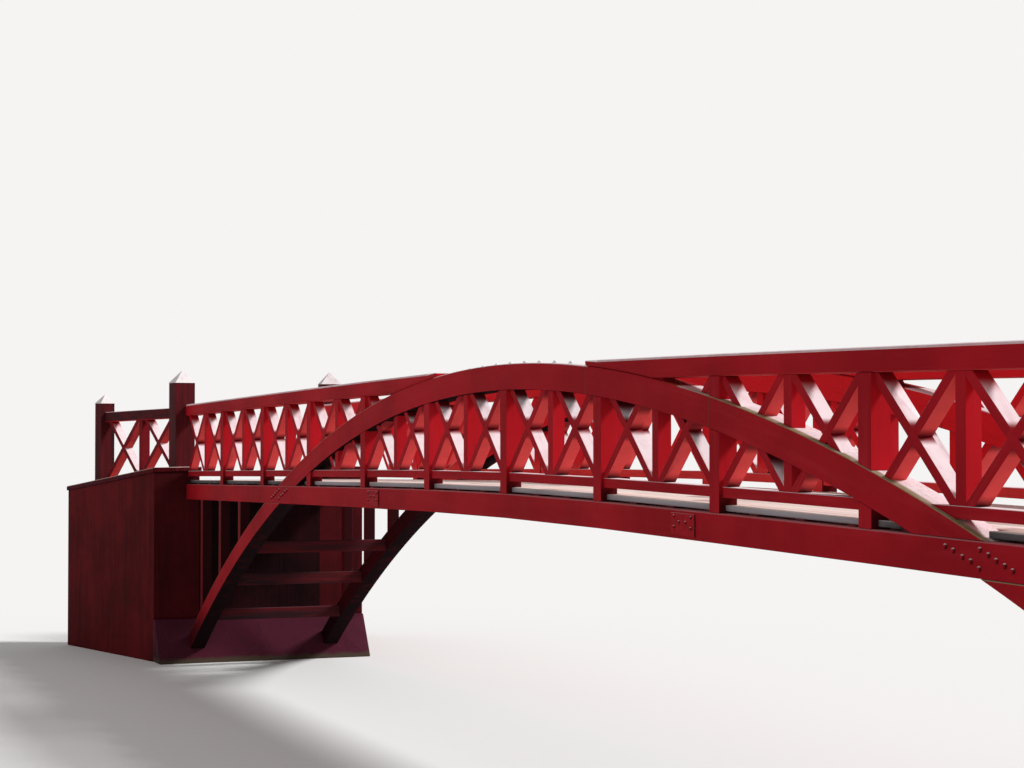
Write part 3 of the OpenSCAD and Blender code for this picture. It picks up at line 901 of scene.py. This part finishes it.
def layDeck():
    posts = postsAlong()
    notch = bridge["postWidth"] / 2 + deck["notchGap"]
    points, shades, quads, caps, count = [], [], [], [], 0
    for begin, end, inner, outer, notched, side in [*innerBoards(), *edgeBoards()]:
        begin += deck["endGap"] / 2
        end -= deck["endGap"] / 2
        inside = posts[(posts > begin) & (posts < end)]
        steps = np.array([-notch, -notch, 0.0, notch, notch]) if notched else np.zeros(1)
        widths = np.array([0, 1, 1, 1, 0]) if notched else np.zeros(1)
        x = np.concatenate([[begin], (inside[:, None] + steps[None, :]).ravel(), [end]])
        cut = np.concatenate([[0], np.tile(widths, len(inside)), [0]])
        far = np.where(cut == 1, bridge["postInner"] - deck["notchGap"], outer)
        lift = rng.uniform(0, 1) * deck["unevenness"] / deck["thickness"]
        ring = boardRings(x, np.full(len(x), inner), far, lift)
        if side < 0:
            ring[..., 1] *= -1
            ring = ring[:, ::-1]
        q, c = gridFaces(1, ring.shape[0], ring.shape[1])
        points.append(ring.reshape(-1, 3))
        quads.append(q + count)
        caps.append(c + count)
        shades.append(np.full(ring[..., 0].size, rng.uniform(0, 1)))
        count += ring[..., 0].size
    piece = makePiece("deck_boards", np.concatenate(points), [np.concatenate(quads), np.concatenate(caps)],
                      finish["deck"], {"boardShade": np.concatenate(shades)})
    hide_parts("deck")
    return piece


layDeck()
print("deck laid")


# Bolts: a profile of radius and height turned about the bolt's own axis

bolt = {
    # radius and height of each ring, in radii of the shank
    "washer": [(2.3, 0.0), (2.4, 0.06), (2.4, 0.26), (2.25, 0.34)],
    "nut": [(1.62, 0.34), (1.72, 0.42), (1.72, 1.35), (1.5, 1.55)],
    "tip": [(1.0, 1.55), (1.0, 1.72), (0.75, 1.88), (0.2, 1.92)],
    "dome": [(1.0, 0.0), (1.0, 0.25), (0.86, 0.52), (0.52, 0.76), (0.12, 0.84)],
    "sides": 12,
}


def turnBolts(name, places, normals, size, rings, hexRings, look):
    # each point is the bolt's place, plus its size times (the ring's radius, turned about the
    # bolt's axis, and the ring's height along the axis). On the nut's rings the radius is a
    # hexagon's: that of its flats over the cosine of the angle from the nearest flat's middle
    rings = np.array(rings)
    angle = np.arange(bolt["sides"]) * 2 * np.pi / bolt["sides"]
    six = np.cos(np.pi / 6) / np.cos((angle + np.pi / 6) % (np.pi / 3) - np.pi / 6)
    shape = np.where(hexRings[:, None], six[None, :], 1.0)
    radius = rings[:, 0][:, None] * shape
    n = np.asarray(normals, float)
    n /= np.linalg.norm(n, axis=1)[:, None]
    helper = np.where(np.abs(n[:, :1]) > 0.9, [[0.0, 1.0, 0.0]], [[1.0, 0.0, 0.0]])
    t = np.cross(n, helper)
    t /= np.linalg.norm(t, axis=1)[:, None]
    b = np.cross(n, t)
    flat = np.cos(angle)[None, :, None] * t[:, None, :] + np.sin(angle)[None, :, None] * b[:, None, :]
    turned = radius[None, :, :, None] * flat[:, None, :, :]
    raised = rings[:, 1][None, :, None, None] * n[:, None, None, :]
    points = np.asarray(places, float)[:, None, None, :] + size * (turned + raised)
    quads, caps = gridFaces(len(places), len(rings), bolt["sides"])
    piece = makePiece(name, points.reshape(-1, 3), [quads, caps], look)
    return piece


# Nuts on the ribs' backs, along the crown

crownBolts = {"step": 1 / 3, "eachWay": 4, "shift": -0.073, "size": 0.012}


def boltOnCrown():
    steps = np.arange(-crownBolts["eachWay"], crownBolts["eachWay"] + 1)
    x = np.tile(steps * crownBolts["step"] + crownBolts["shift"], 2)
    side = np.repeat([-1.0, 1.0], len(steps))
    lean = x / ribBack[1]
    places = np.stack([x, side * bridge["sideMiddle"], arcAt(ribBack, x)], 1)
    normals = np.stack([lean, np.zeros_like(x), np.sqrt(1 - lean**2)], 1)
    rings = bolt["washer"] + bolt["nut"] + bolt["tip"]
    hexRings = np.zeros(len(rings), bool)
    hexRings[len(bolt["washer"]):-len(bolt["tip"])] = True
    return turnBolts("crown_bolts", places, normals, crownBolts["size"], rings, hexRings,
                     finish["zinc"])


boltOnCrown()


# Dome heads on the splice plates, and in two rows along each rib where it passes through a stringer

plateBolts = {
    "halfSpan": 3.58, "shift": -0.06, "face": 1.06, "size": 0.0125,
    # along the plate and up from the stringer's middle
    "pattern": [(-0.135, 0.055), (-0.135, -0.022), (0.135, 0.055), (0.135, -0.022),
                (-0.054, 0.0165), (0.054, 0.0165)],
}
jointBolts = {
    # from midspan, and height
    "lower": [(6.879, 2.469), (6.960, 2.449), (7.052, 2.417), (7.134, 2.397), (7.215, 2.359)],
    "upper": [(7.225, 2.466), (7.305, 2.440), (7.380, 2.413), (7.460, 2.389), (7.535, 2.365)],
    "size": 0.017,
}


def setDomes(name, x, z, face, size):
    # dome heads at each x and z, on the front and on the back of the bridge
    side = np.repeat([-1.0, 1.0], len(x))
    places = np.stack([np.tile(x, 2), side * face, np.tile(z, 2)], 1)
    normals = np.stack([np.zeros_like(side), side, np.zeros_like(side)], 1)
    plain = np.zeros(len(bolt["dome"]), bool)
    return turnBolts(name, places, normals, size, bolt["dome"], plain,
                     finish["steelPaint"])


def boltOnPlates():
    spots = np.array(plateBolts["pattern"])
    middles = np.array([[-1.0], [1.0]]) * plateBolts["halfSpan"] + plateBolts["shift"]
    x = (middles + spots[:, 0]).ravel()
    z = gradeAt(x) - bridge["stringerDepth"] / 2 + np.tile(spots[:, 1], 2)
    return setDomes("plate_bolts", x, z, plateBolts["face"], plateBolts["size"])


def boltOnJoints():
    spots = np.array(jointBolts["lower"] + jointBolts["upper"])
    x = np.concatenate([-spots[:, 0], spots[:, 0]])
    z = np.tile(spots[:, 1], 2)
    return setDomes("joint_bolts", x, z, bridge["sideFace"], jointBolts["size"])


boltOnPlates()
boltOnJoints()


# Screw heads, two in each board over each joist

screws = {
    "size": 0.0042,
    "fromMiddle": 0.042,     # of the board
    "profile": [(1.2, 0.0), (1.2, 0.12), (0.9, 0.22), (0.2, 0.26)],
    "astray": (0.003, 0.002),
}


def screwDeck():
    pitch = 2 * bridge["ribInner"] / deck["boards"]
    middles = (np.arange(deck["boards"]) + 0.5) * pitch - bridge["ribInner"]
    x, y, side = np.meshgrid(joistsAlong(), middles, [-1.0, 1.0], indexing="ij")
    along, across = screws["astray"]
    x = x.ravel() + rng.normal(0, along, x.size)
    y = (y + side * screws["fromMiddle"]).ravel() + rng.normal(0, across, y.size)
    z = gradeAt(x) + bridge["deckLow"] + deck["thickness"] - deck["unevenness"]
    places = np.stack([x, y, z], 1)
    normals = np.tile([0.0, 0.0, 1.0], (len(x), 1))
    rings = screws["profile"]
    return turnBolts("deck_screws", places, normals, screws["size"], rings,
                     np.zeros(len(rings), bool), finish["zinc"])


screwDeck()
print("bolts and screws set")


# Soft light: a wide sun from above the right end and behind, and a pale world

light = {
    "from": (0.34, 0.68, 0.65), "strength": 3.3, "softness": 12.0,
    "world": 0.42,
}
floor = {"radius": 3000.0, "colour": (0.83, 0.82, 0.81), "rings": 12, "columns": 64}


def addSun(name, fromWhere, strength, softness):
    lamp = bpy.data.lights.new(name, "SUN")
    lamp.energy = strength
    lamp.angle = math.radians(softness)
    made = bpy.data.objects.new(name, lamp)
    made.rotation_mode = "QUATERNION"
    made.rotation_quaternion = Vector(fromWhere).to_track_quat("Z", "Y")
    bpy.context.scene.collection.objects.link(made)


def floorLight():
    # what falls on open floor, over pi: the sun's strength times the height of its direction, and the world
    high = light["from"][2] / math.dist(light["from"], (0, 0, 0))
    return light["world"] + light["strength"] * high / math.pi


def makeFloor():
    # a disc about z: each ring's radius is the last one's times the same factor, out to where no rim shows
    r = np.geomspace(1.0, floor["radius"], floor["rings"])[:, None]
    angle = np.arange(floor["columns"]) * 2 * np.pi / floor["columns"]
    x = r * np.cos(angle)
    points = np.stack([x, r * np.sin(angle), np.zeros_like(x)], -1)
    quads, caps = gridFaces(1, *x.shape)
    made, tree = startMaterial("floorPaint")
    shader = addNode(tree, "ShaderNodeBsdfDiffuse", {"Color": rgb(*floor["colour"])})
    end = addNode(tree, "ShaderNodeOutputMaterial")
    tree.links.new(shader.outputs[0], end.inputs[0])
    mesh = bpy.data.meshes.new("floor")
    mesh.from_pydata(points.reshape(-1, 3).tolist(), [], quads[:, ::-1].tolist() + caps[:1, ::-1].tolist())
    mesh.materials.append(made)
    plane = bpy.data.objects.new("floor", mesh)
    bpy.context.scene.collection.objects.link(plane)


def makeWorld():
    # plain white light on the object, and the lit floor's own colour where the eye or a reflection sees it
    world = bpy.data.worlds.new("studio")
    world.use_nodes = True
    tree = world.node_tree
    tree.nodes.clear()
    path = addNode(tree, "ShaderNodeLightPath").outputs
    seen = calc(tree, "MAXIMUM", path["Is Glossy Ray"], path["Is Transmission Ray"])
    seen = calc(tree, "MAXIMUM", path["Is Camera Ray"], seen)
    shade = rgb(*[part * floorLight() for part in floor["colour"]])
    inputs = {"Color": rgb(1, 1, 1), "Strength": light["world"]}
    lit = addNode(tree, "ShaderNodeBackground", inputs).outputs[0]
    shown = addNode(tree, "ShaderNodeBackground", {"Color": shade, "Strength": 1.0}).outputs[0]
    mixed = addNode(tree, "ShaderNodeMixShader", {0: seen, 1: lit, 2: shown}).outputs[0]
    end = addNode(tree, "ShaderNodeOutputWorld")
    tree.links.new(mixed, end.inputs[0])
    bpy.context.scene.world = world


addSun("keyLight", light["from"], light["strength"], light["softness"])
makeFloor()
makeWorld()
bpy.context.scene.view_settings.view_transform = "Standard"
print("light set")


# Camera of the photograph

shot = {
    "place": (17.34464, -7.85967, 3.09162),
    "heading": 21.67,        # degrees from -X towards +Y
    "pitch": 1.406,          # degrees up
    "focalPixels": 2150.0,
    "imageWidth": 1024.0,
    "sensorWidth": 36.0,
    "seesTo": 1000.0,
}


def makeCamera():
    heading = math.radians(shot["heading"])
    pitch = math.radians(shot["pitch"])
    level = math.cos(pitch)
    ahead = Vector((-math.cos(heading) * level, math.sin(heading) * level, math.sin(pitch)))
    right = ahead.cross(Vector((0, 0, 1))).normalized()
    above = right.cross(ahead)
    lens = bpy.data.cameras.new("camera")
    lens.sensor_fit = "HORIZONTAL"
    lens.sensor_width = shot["sensorWidth"]
    lens.lens = shot["focalPixels"] / shot["imageWidth"] * lens.sensor_width
    lens.clip_end = shot["seesTo"]
    made = bpy.data.objects.new("camera", lens)
    turned = Matrix((right, above, -ahead)).transposed().to_4x4()
    made.matrix_world = Matrix.Translation(shot["place"]) @ turned
    bpy.context.scene.collection.objects.link(made)
    bpy.context.scene.camera = made


makeCamera()
